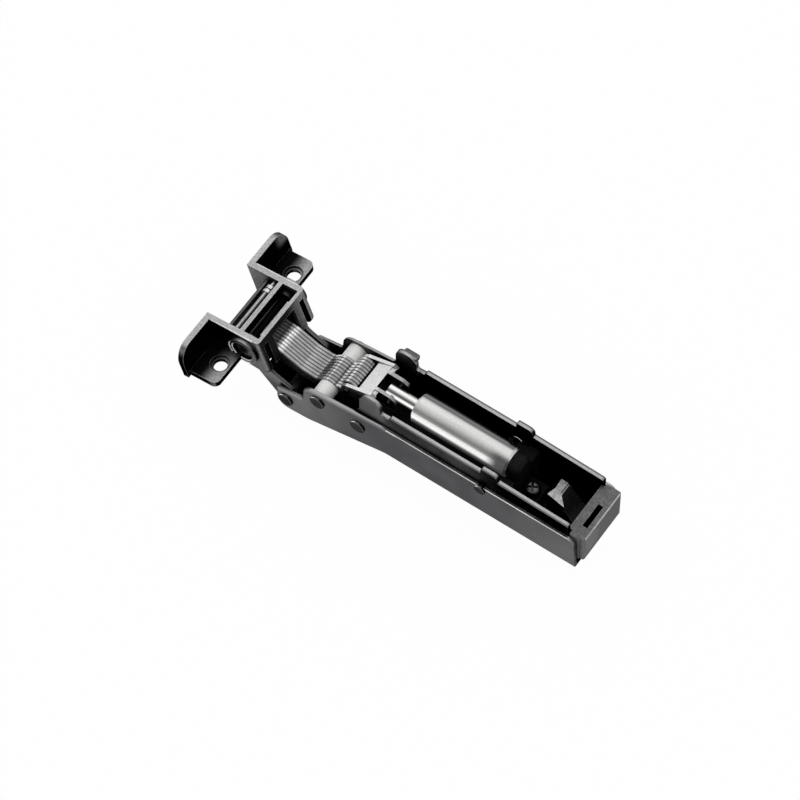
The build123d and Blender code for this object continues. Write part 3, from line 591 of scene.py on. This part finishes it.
FINISHES: dict[str, Finish] = {
    # painted light: lighter towards the nose and the cap end, a painted highlight on the rim's outer half, painted
    # shade black on its inner half
    "outer_sheet": Finish(
        "dark nickel sheet", grey(0.17, 1.03), grey(0.5), BLACK, Surface.PLATED, 0.36, reach=9, opening=(0.12, 0.4),
        edge_width=0.3, edge_amount=0.05, tone=0.05, rim=0.1, painted_tones=(
            Tone(grey(0.25), spans=(Span(ALONG, -34, -54),)),
            Tone(grey(0.22), spans=(Span(ALONG, 5, 28),)),
            Tone(BLACK, facing=UP, turn=(0.5, 0.95), spans=(Span(OFF_MIDDLE, 8.6, 8.3),)),
        ), glints=(
            Tone(grey(0.36), facing=UP, turn=(0.5, 0.95), spans=(Span(OFF_MIDDLE, 8.75, 8.9), Span(ABOVE, 5, 7))),
        )),
    # painted shade: the inner sheet is coloured near black for the shade it lies in; painted light on the top, the
    # near wall's outer face, towards the nose and on the rims
    "inner_sheet": Finish(
        "dark nickel inner sheet in painted shade", grey(0.008), grey(0.3), BLACK, Surface.PLATED, 0.34, reach=10, opening=(0.25, 0.6),
        edge_amount=0.35, tone=0.12, rim=0.05, painted_tones=(
            Tone(grey(0.016), spans=(Span(ABOVE, 15.3, 16.6),)),
            Tone(grey(0.11), facing=(0.0, -1.0, 0.0), turn=(0.5, 0.9),
                 spans=(Span(ABOVE, 11.2, 13.4), Span(ACROSS, -8.3, -8.5), Span(ALONG, 11.0, -6.0))),
            Tone(grey(0.2), spans=(Span(ABOVE, 12.5, 14.5), Span(ALONG, -27, -29))),
            Tone(grey(0.33), facing=UP, turn=(0.6, 0.95), spans=(Span(ABOVE, 12.0, 13.5),)),
            Tone(grey(0.10), facing=UP, turn=(0.6, 0.95),
                 spans=(Span(ABOVE, 12.0, 13.5), Span(OFF_MIDDLE, 8.0, 8.25))),
        )),
    # painted shade: front darker towards the near side, black on the cheeks' ends, outer faces at the back, inner
    # pocket and outer tops; painted light on the far front, tray floors and rims
    "cast": Finish(
        "dark nickel casting", grey(0.21), grey(0.6), BLACK, Surface.PLATED, 0.42, reach=12, opening=(0.3, 0.85),
        edge_width=0.35, edge_amount=0.45, grain_scale=1800, grain_bump=0.45, tone=0.16, rim=0.2, painted_tones=(
            Tone(grey(0.03), facing=(1.0, 0.0, 0.2), turn=(0.6, 0.9), spans=(Span(ACROSS, 9.0, 2.0),)),
            Tone(BLACK, facing=(1.0, 0.0, 0.0), turn=(0.5, 0.8), spans=(Span(OFF_MIDDLE, 9.9, 10.3),)),
            Tone(grey(0.13), facing=(1.0, 0.0, 0.0), turn=(0.5, 0.8),
                 spans=(Span(ACROSS, 17.6, 20.6), Span(ABOVE, 11.5, 14.0))),
            Tone(BLACK, facing=(0.0, -1.0, 0.0), turn=(0.5, 0.9),
                 spans=(Span(ALONG, -69.5, -73.5), Span(ACROSS, -9.5, -9.9))),
            Tone(BLACK, facing=(0.0, 1.0, 0.0), turn=(0.5, 0.9),
                 spans=(Span(ALONG, -69.5, -73.5), Span(ACROSS, 9.5, 9.9))),
            Tone(BLACK, spans=(Span(ALONG, -65.3, -65.6), Span(OFF_MIDDLE, 8.5, 8.4))),
            Tone(BLACK, facing=UP, spans=(Span(OFF_MIDDLE, 9.9, 10.3),)),
            Tone(grey(0.3), facing=UP, spans=(Span(OFF_MIDDLE, 9.9, 10.3), Span(ALONG, -75.5, -71.2))),
            Tone(grey(0.37), facing=TIPPED_UP, turn=(0.85, 0.99), spans=(Span(ABOVE, 12.0, 14.0),)),
        )),
    # painted shade: black towards the bottom, low in the arm
    "link": Finish(
        "dark nickel links", grey(0.10), grey(0.5), BLACK, Surface.PLATED, 0.36, reach=9, opening=(0.2, 0.7), painted_tones=(
            Tone(BLACK, spans=(Span(ABOVE, 3.0, -2.0),)),
        )),
    # painted light and shade: level part darker, painted highlights on the bumps and at the shoulder, painted shade
    # on the end beyond the shoulder
    "lever": Finish(
        "bright nickel plates", grey(0.40), grey(0.9), (0.02, 0.018, 0.017), Surface.BRUSHED, 0.30, reach=3,
        opening=(0.0, 0.55), edge_amount=0.0, tone=0.12, pitch=0.955, pitch_start=-4.2975, painted_tones=(
            Tone(grey(0.26), facing=UP, turn=(0.9, 0.99), spans=(Span(ALONG, -56.8, -52.5),)),
            Tone(grey(0.85), facing=(-0.6, 0.0, 0.8), turn=(0.86, 0.99)),
            Tone(grey(0.8), spans=(Span(ALONG, -61.6, -62.8),)),
            Tone(grey(0.05), spans=(Span(ALONG, -63.4, -64.8),)),
        )),
    # painted highlights: faces turned up towards the door, bright on the web, lighter on the arms
    "yoke": Finish(
        "bright nickel yoke", grey(0.22), grey(0.75), (0.02, 0.018, 0.017), Surface.PLATED, 0.33, reach=5,
        opening=(0.05, 0.6), tone=0.12, painted_tones=(
            Tone(grey(0.72), facing=TO_DOOR, turn=(0.8, 0.98), spans=(Span(ALONG, -33.2, -33.8),)),
            Tone(grey(0.4), facing=TO_DOOR, turn=(0.8, 0.98), spans=(Span(ALONG, -33.8, -33.2),)),
        )),
    # painted highlight and painted shadow: a bright crescent on the upper left of each head, a black one on its upper
    # right
    "steel": Finish(
        "turned steel", grey(0.10), grey(0.5), BLACK, Surface.PLATED, 0.28, reach=3, opening=(0.15, 0.6), rim=0.1,
        painted_tones=(
            Tone(grey(0.75), facing=(-0.6, -0.45, 0.66), turn=(0.88, 0.97)),
            Tone(BLACK, facing=(0.7, -0.35, 0.6), turn=(0.8, 0.9)),
        )),
    # painted reflections: bands of light and shade across the cross pin
    "pin": Finish(
        "bright pins", grey(0.4), grey(0.6), BLACK, Surface.BRUSHED, 0.22, reach=2, opening=(0.0, 0.3),
        bands=ReflectionBands((
            (-1.0, 0.01), (-0.85, 0.06), (-0.68, 0.35), (-0.5, 0.45), (-0.28, 0.22), (-0.1, 0.07), (1.0, 0.01)),
            across=(0.95, 0.0, -0.31))),
    # painted shade: black on the faces turned along the arm and down
    "ring": Finish(
        "bright wire", grey(0.5), grey(0.8), grey(0.05), Surface.PLATED, 0.22, reach=1, opening=(0.0, 0.2), painted_tones=(
            Tone(BLACK, facing=(0.8, -0.2, -0.5), turn=(0.3, 0.8)),
        )),
    # painted reflections: bands across the tube; painted shade on its near side towards the end
    "satin": Finish(
        "satin tube", grey(0.5), grey(0.8), (0.02, 0.018, 0.016), Surface.BRUSHED, 0.30, reach=1.5,
        opening=(0.0, 0.2), grain_bump=0.05, tone=0.05, edge_amount=0.3, bands=ReflectionBands((
            (-1.0, 0.05), (-0.88, 0.10), (-0.78, 0.20), (-0.68, 0.12), (-0.52, 0.50), (-0.1, 0.58), (0.12, 0.34),
            (0.28, 0.19), (0.42, 0.22), (0.54, 0.75), (0.72, 0.85), (0.83, 0.15), (1.0, 0.02)),
            lift=(0.0, -0.22, 0.975)), painted_tones=(
            Tone(grey(0.08), facing=(0.0, -0.9, 0.35), turn=(0.6, 0.9), spans=(Span(ALONG, -1.5, 2.5),)),
            Tone(grey(0.05), facing=(0.6, -0.75, 0.2), turn=(0.7, 0.92), spans=(Span(ALONG, 3.0, 4.0),)),
        )),
    # painted reflections: bands along the rod
    "rod": Finish(
        "polished rod", grey(0.5), grey(0.8), (0.02, 0.018, 0.016), Surface.BRUSHED, 0.16, reach=1.5,
        opening=(0.0, 0.2), grain_bump=0.04, tone=0.04, edge_amount=0.3, bands=ReflectionBands((
            (-1.0, 0.05), (-0.75, 0.2), (-0.5, 0.7), (-0.15, 0.62), (0.05, 0.15), (0.3, 0.08), (0.5, 0.75),
            (0.7, 0.8), (0.82, 0.12), (1.0, 0.02)), lift=(0.0, -0.22, 0.975))),
    # painted highlights: beads far lighter than the sheet they round off
    "cap_bead": Finish(
        "cap edge bead with painted highlight", grey(0.36), grey(0.6), grey(0.2), Surface.MOULDED, 0.35, reach=0.5, opening=(0.0, 0.1),
        edge_amount=0.2, tone=0.2),
    "bead": Finish(
        "rim bead with painted highlight", grey(0.62), grey(0.8), grey(0.3), Surface.BRUSHED, 0.25, reach=0.5, opening=(0.0, 0.1),
        edge_amount=0.2, tone=0.12),
    # painted highlight: only the lower left of each ring is bright, the rest painted near black
    "arc": Finish(
        "turned boss rings", grey(0.03), grey(0.3), BLACK, Surface.PLATED, 0.25, metal=0.2, reach=1,
        opening=(0.0, 0.2), painted_tones=(
            Tone(grey(0.75), spans=(Span(ABOVE, 14.2, 13.0), Span(ALONG, -66.4, -67.4))),
        )),
    # painted shade on faces sloping towards the end, painted light on the top
    "wedge": Finish(
        "rough catch", grey(0.02), grey(0.5), BLACK, Surface.PLATED, 0.5, reach=4, opening=(0.1, 0.5),
        grain_scale=1500, grain_bump=0.6, tone=0.25, painted_tones=(
            Tone(grey(0.05), facing=(0.7, 0.0, 0.7), turn=(0.8, 0.98)),
            Tone(grey(0.42), facing=UP, turn=(0.85, 0.99)),
        )),
    # painted light: the top lighter
    "screw": Finish(
        "blackened screw", grey(0.035), grey(0.12), BLACK, Surface.PLATED, 0.38, reach=3, opening=(0.1, 0.6),
        tone=0.2, painted_tones=(Tone(grey(0.11), facing=UP, turn=(0.8, 0.99)),)),
    "shadowed": Finish(
        "pin in the shade", BLACK, grey(0.03), BLACK, Surface.PLATED, 0.4, reach=3, tone=0.2, edge_amount=0.2),
    "bush": Finish(
        "off-white moulding", (0.80, 0.80, 0.78), (0.9, 0.9, 0.89), (0.3, 0.29, 0.28), Surface.MOULDED, 0.42,
        metal=0.0, reach=5, opening=(0.0, 0.6), tone=0.05, edge_amount=0.2),
    "plastic": Finish(
        "black moulding", (0.003, 0.002, 0.002), grey(0.015), BLACK, Surface.MOULDED, 0.6, metal=0.0, reach=8,
        tone=0.2, edge_amount=0.3, gloss=0.12),
    # painted shade on the end face, painted light on the top
    "cap": Finish(
        "grey end cap", grey(0.11, 1.04), grey(0.4), BLACK, Surface.MOULDED, 0.46, reach=5, opening=(0.2, 0.7),
        grain_scale=1500, grain_bump=0.5, tone=0.2, painted_tones=(
            Tone(grey(0.036, 1.08), facing=(1.0, 0.0, 0.0)),
            Tone(grey(0.115), facing=UP),
        )),
}


# Pieces of the scene


def settle(piece: bpy.types.Object, turn: Quaternion, place: Vector) -> None:
    """Turns and places a piece in its mesh, so that its origin stays at the world's.

    Args:
        piece: the selected piece.
        turn: its rotation.
        place: where its middle goes, in metres.
    """
    piece.rotation_mode = "QUATERNION"
    piece.rotation_quaternion = turn
    piece.location = place
    bpy.ops.object.transform_apply(location=True, rotation=True, scale=True)


@dataclass(frozen=True)
class Bead:
    """A rolled edge: a thin round bar with rounded ends along a rim."""

    name: str
    start: Point
    end: Point
    radius: float
    body: str
    finish: str = "bead"

    def build(self) -> bpy.types.Object:
        """Models the bar.

        Returns:
            The bar in its place.
        """
        start, end = Vector(self.start) * MM, Vector(self.end) * MM
        along = end - start
        bpy.ops.object.select_all(action="DESELECT")
        bpy.ops.mesh.primitive_cylinder_add(vertices=14, radius=self.radius * MM, depth=along.length)
        piece = bpy.context.object
        piece.name = self.name
        bpy.ops.object.mode_set(mode="EDIT")
        bpy.ops.mesh.select_mode(type="FACE")
        bpy.ops.mesh.select_all(action="DESELECT")
        shape = bmesh.from_edit_mesh(piece.data)
        for face in shape.faces:
            face.select_set(abs(face.normal.z) > 0.9)
        bmesh.update_edit_mesh(piece.data)
        bpy.ops.mesh.bevel(offset=0.7 * self.radius * MM, segments=3)
        bpy.ops.object.mode_set(mode="OBJECT")
        settle(piece, along.to_track_quat("Z", "Y"), (start + end) / 2)
        bpy.ops.object.shade_smooth_by_angle(angle=math.radians(50))
        return piece


@dataclass(frozen=True)
class Collar:
    """A turned ring round a pin that lies across the hinge, flattened along the pin."""

    name: str
    centre: Point
    radius: float
    wire: float
    body: str
    finish: str
    flat: float = 0.8

    def build(self) -> bpy.types.Object:
        """Models the ring.

        Returns:
            The ring in its place.
        """
        bpy.ops.object.select_all(action="DESELECT")
        bpy.ops.mesh.primitive_torus_add(major_segments=56, minor_segments=12, major_radius=self.radius * MM,
                                         minor_radius=self.wire * MM)
        piece = bpy.context.object
        piece.name = self.name
        bpy.ops.object.mode_set(mode="EDIT")
        bpy.ops.mesh.select_all(action="SELECT")
        bpy.ops.transform.resize(value=(1.0, 1.0, self.flat), center_override=(0.0, 0.0, 0.0))
        bpy.ops.object.mode_set(mode="OBJECT")
        settle(piece, Vector((0.0, 1.0, 0.0)).to_track_quat("Z", "Y"), Vector(self.centre) * MM)
        bpy.ops.object.shade_smooth()
        return piece


@dataclass
class SubAssembly:
    """A group of the hinge's nodes and the finish of each."""

    name: str
    finishes: dict[str, str]

    def extras(self) -> list[Bead | Collar]:
        """The fine pieces that the group gets, none unless a group has its own."""
        return []

    def dress(self, materials: dict[str, bpy.types.Material]) -> None:
        """Gives every node of the group its material.

        Args:
            materials: the finished materials by key.
        """
        for node, finish in self.finishes.items():
            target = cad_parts[node]
            target.data.materials.clear()
            target.data.materials.append(materials[finish])
            LOG.info("%s: %s dressed in %s", self.name, node, finish)

    def build(self, materials: dict[str, bpy.types.Material]) -> None:
        """Models the group's fine pieces and lets them ride on their bodies.

        Args:
            materials: the finished materials by key.
        """
        for extra in self.extras():
            piece = extra.build()
            piece.data.materials.append(materials[extra.finish])
            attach(piece, extra.body)
            LOG.info("%s: %s added", self.name, extra.name)


@dataclass
class Arm(SubAssembly):
    """Two folded channels with their rivets, end cap, catch and screw, sizes in mm."""

    name: str = "arm"
    finishes: dict[str, str] = field(default_factory=lambda: {
        "outer_channel": "outer_sheet", "inner_channel": "inner_sheet", "end_cap": "cap", "catch_wedge": "wedge",
        "nose_rivet": "steel", "main_rivet": "steel", "channel_rivets": "steel", "damper_rivets": "steel",
        "damper_rings": "ring", "screw_block": "plastic", "adjusting_screw": "screw",
    })
    rim_start: float = -27.0
    rim_end: float = 27.2
    rim_side: float = 9.32
    rim_top: float = 11.86
    rim_radius: float = 0.27
    cap_front: float = 31.43
    cap_top: float = 13.43
    cap_half_width: float = 7.9
    cap_radius: float = 0.26

    def extras(self) -> list[Bead | Collar]:
        """Beads along both rims and the front edge of the cap, lighter than the sheet as a painted highlight.

        Returns:
            The beads in building order.
        """
        rims = [Bead(f"{side}_rim_bead", (self.rim_start, across, self.rim_top), (self.rim_end, across, self.rim_top),
                     self.rim_radius, "arm") for side, across in (("near", -self.rim_side), ("far", self.rim_side))]
        return [*rims, Bead("cap_edge_bead", (self.cap_front, -self.cap_half_width, self.cap_top),
                            (self.cap_front, self.cap_half_width, self.cap_top), self.cap_radius, "arm", "cap_bead")]


@dataclass
class Damper(SubAssembly):
    """The soft-close cylinder with its gland, tail, seat, piston and rod."""

    name: str = "damper"
    finishes: dict[str, str] = field(default_factory=lambda: {
        "damper_cylinder": "satin", "damper_gland": "satin", "damper_tail": "plastic", "damper_seat": "plastic",
        "piston": "plastic", "piston_rod": "rod",
    })


@dataclass
class Lever(SubAssembly):
    """The stack of curved plates on its two bushes."""

    name: str = "lever"
    finishes: dict[str, str] = field(default_factory=lambda: {
        "bush_near": "bush", "bush_far": "bush", "tail_pin": "steel",
    })
    plates: int = 9

    def __post_init__(self) -> None:
        """Adds the plates to the nodes."""
        self.finishes.update({f"lever_plate_{number}": "lever" for number in range(1, self.plates + 1)})


@dataclass
class Yoke(SubAssembly):
    """The coupling between the lever's tail and the damper's rod."""

    name: str = "yoke"
    finishes: dict[str, str] = field(default_factory=lambda: {"yoke": "yoke", "rod_pin": "steel"})


@dataclass
class SideLinks(SubAssembly):
    """The two cheeks from the nose to the bracket and the sleeve between them."""

    name: str = "side links"
    finishes: dict[str, str] = field(default_factory=lambda: {"outer_link": "link", "link_sleeve": "link"})


@dataclass
class DoorBracket(SubAssembly):
    """The cast bracket with its pins, sizes in mm on the level bracket."""

    name: str = "door bracket"
    finishes: dict[str, str] = field(default_factory=lambda: {
        "bracket_housing": "cast", "link_pin": "shadowed", "lever_pin": "steel", "cross_pin": "pin",
        "second_bar": "screw", "pin_collars": "ring",
    })
    turn: float = -6.0
    pivot: tuple[float, float] = (-69.4, 12.2)
    cheek_start: float = -79.4
    cheek_end: float = -66.4
    cheek_side: float = 9.98
    cheek_top: float = 17.32
    cheek_radius: float = 0.24
    ring: tuple[float, float, float] = (11.1, 4.05, 0.22)
    lip: tuple[float, float, float] = (11.05, 3.2, 0.2)

    def tipped(self, x: float, y: float, z: float) -> Point:
        """A place on the bracket as it is tipped in the open pose.

        Args:
            x: along the level bracket.
            y: across it.
            z: height on the level bracket.

        Returns:
            The tipped place in mm.
        """
        middle, height = self.pivot
        out, up = x - middle, z - height
        sine, cosine = math.sin(math.radians(self.turn)), math.cos(math.radians(self.turn))
        return middle + out * cosine + up * sine, y, height - out * sine + up * cosine

    def extras(self) -> list[Bead | Collar]:
        """Beads along both cheeks, lighter than the casting as a painted highlight, and a ring and a lip on each
        pivot boss.

        Returns:
            The pieces in building order.
        """
        sides = (("near", -1.0), ("far", 1.0))
        beads = [Bead(f"{side}_cheek_bead", self.tipped(self.cheek_start, way * self.cheek_side, self.cheek_top),
                      self.tipped(self.cheek_end, way * self.cheek_side, self.cheek_top), self.cheek_radius,
                      "bracket") for side, way in sides]
        middle, height = self.pivot
        collars = [Collar(f"{side}_boss_{part}", (middle, way * out, height), radius, wire, "bracket", "arc")
                   for side, way in sides
                   for part, (out, radius, wire) in (("ring", self.ring), ("lip", self.lip))]
        return [*beads, *collars]


@dataclass
class Studio:
    """Pale floor, soft lamps and the camera."""

    target: Vector = field(default_factory=lambda: Vector((-25.99, -4.39, 20.79)) * MM)
    azimuth: float = 34.5
    elevation: float = 60.0
    distance: float = 1.1979
    lens: float = 217.8
    lamp_size: float = 0.5
    lamp_reach: float = 0.6
    top_power: float = 0.35
    front_power: float = 0.3
    fill: float = 0.85
    floor_size: float = 4.0
    floor_gap: float = 0.2 * MM
    floor_shine: float = 0.97

    def back(self) -> Vector:
        """Unit vector from the hinge to the camera."""
        a, e = math.radians(self.azimuth), math.radians(self.elevation)
        return Vector((math.sin(a) * math.cos(e), -math.cos(a) * math.cos(e), math.sin(e)))

    def camera(self) -> None:
        """Places the camera at the photograph's angle."""
        data = bpy.data.cameras.new("camera")
        data.lens = self.lens
        data.sensor_width = 36.0
        data.clip_start, data.clip_end = 0.01, 20.0
        camera = bpy.data.objects.new("camera", data)
        bpy.context.scene.collection.objects.link(camera)
        camera.location = self.target + self.back() * self.distance
        camera.rotation_mode = "QUATERNION"
        camera.rotation_quaternion = (-self.back()).to_track_quat("-Z", "Y")
        bpy.context.scene.camera = camera

    def lamp(self, name: str, direction: tuple[float, float, float], power: float) -> None:
        """Adds one soft square lamp that points at the hinge.

        Args:
            name: the lamp's name.
            direction: from the hinge to the lamp.
            power: watts.
        """
        data = bpy.data.lights.new(name, "AREA")
        data.shape, data.size, data.energy = "SQUARE", self.lamp_size, power
        lamp = bpy.data.objects.new(name, data)
        bpy.context.scene.collection.objects.link(lamp)
        away = Vector(direction).normalized()
        lamp.location = self.target + away * self.lamp_reach
        lamp.rotation_mode = "QUATERNION"
        lamp.rotation_quaternion = (-away).to_track_quat("-Z", "Y")

    def floor(self) -> None:
        """Adds the pale floor under the lowest point."""
        bpy.ops.object.select_all(action="DESELECT")
        low = CAD_BOX[0].z - self.floor_gap
        bpy.ops.mesh.primitive_plane_add(size=self.floor_size, location=(0, 0, low))
        plane = bpy.context.object
        plane.name = "floor"
        material = bpy.data.materials.new("pale floor")
        material.use_nodes = True
        graph = Graph(material.node_tree)
        shader = material.node_tree.nodes["Principled BSDF"]
        shader.inputs["Base Color"].default_value = (0.9, 0.9, 0.9, 1)
        shader.inputs["Roughness"].default_value = 0.9
        glow = graph.add("ShaderNodeEmission")
        glow.inputs["Color"].default_value = (1, 1, 1, 1)
        glow.inputs["Strength"].default_value = 1.0
        blend = graph.add("ShaderNodeMixShader")
        graph.link(graph.math("MULTIPLY", self.seen(graph), self.floor_shine), blend.inputs[0])
        graph.link(shader.outputs[0], blend.inputs[1])
        graph.link(glow.outputs[0], blend.inputs[2])
        graph.link(blend.outputs[0], material.node_tree.nodes["Material Output"].inputs[0])
        plane.data.materials.append(material)

    @staticmethod
    def seen(graph: Graph) -> bpy.types.NodeSocket:
        """Tells the rays that show the backdrop: from the camera, off gloss or through glass.

        Args:
            graph: the material's or the world's writer.

        Returns:
            1 for such a ray.
        """
        path = graph.add("ShaderNodeLightPath")
        either = graph.math("MAXIMUM", path.outputs["Is Camera Ray"], path.outputs["Is Glossy Ray"])
        return graph.math("MAXIMUM", either, path.outputs["Is Transmission Ray"])

    def world(self) -> None:
        """Makes the backdrop white where it is seen and softer as light."""
        world = bpy.data.worlds.new("studio")
        bpy.context.scene.world = world
        world.use_nodes = True
        graph = Graph(world.node_tree)
        background = world.node_tree.nodes["Background"]
        background.inputs["Color"].default_value = (1, 1, 1, 1)
        graph.link(graph.span(self.seen(graph), 0.0, 1.0, self.fill, 1.0), background.inputs["Strength"])

    def build(self) -> None:
        """Sets up the whole studio."""
        self.camera()
        self.world()
        self.floor()
        self.lamp("top softbox", (-0.283, 0.412, 0.866), self.top_power)
        self.lamp("front softbox", (0.2, -0.9, 0.45), self.front_power)
        bpy.context.scene.view_settings.view_transform = "Standard"


def main() -> None:
    """Builds the looks of the hinge in order."""
    logging.basicConfig(level=logging.INFO, format="%(name)s: %(message)s")
    bpy.ops.object.select_all(action="DESELECT")
    effects = Effects()
    materials = {key: finish.make(effects) for key, finish in FINISHES.items()}
    for group in (Arm(), Damper(), Lever(), Yoke(), SideLinks(), DoorBracket()):
        group.dress(materials)
        group.build(materials)
    Studio().build()


if __name__ == "__main__":
    main()
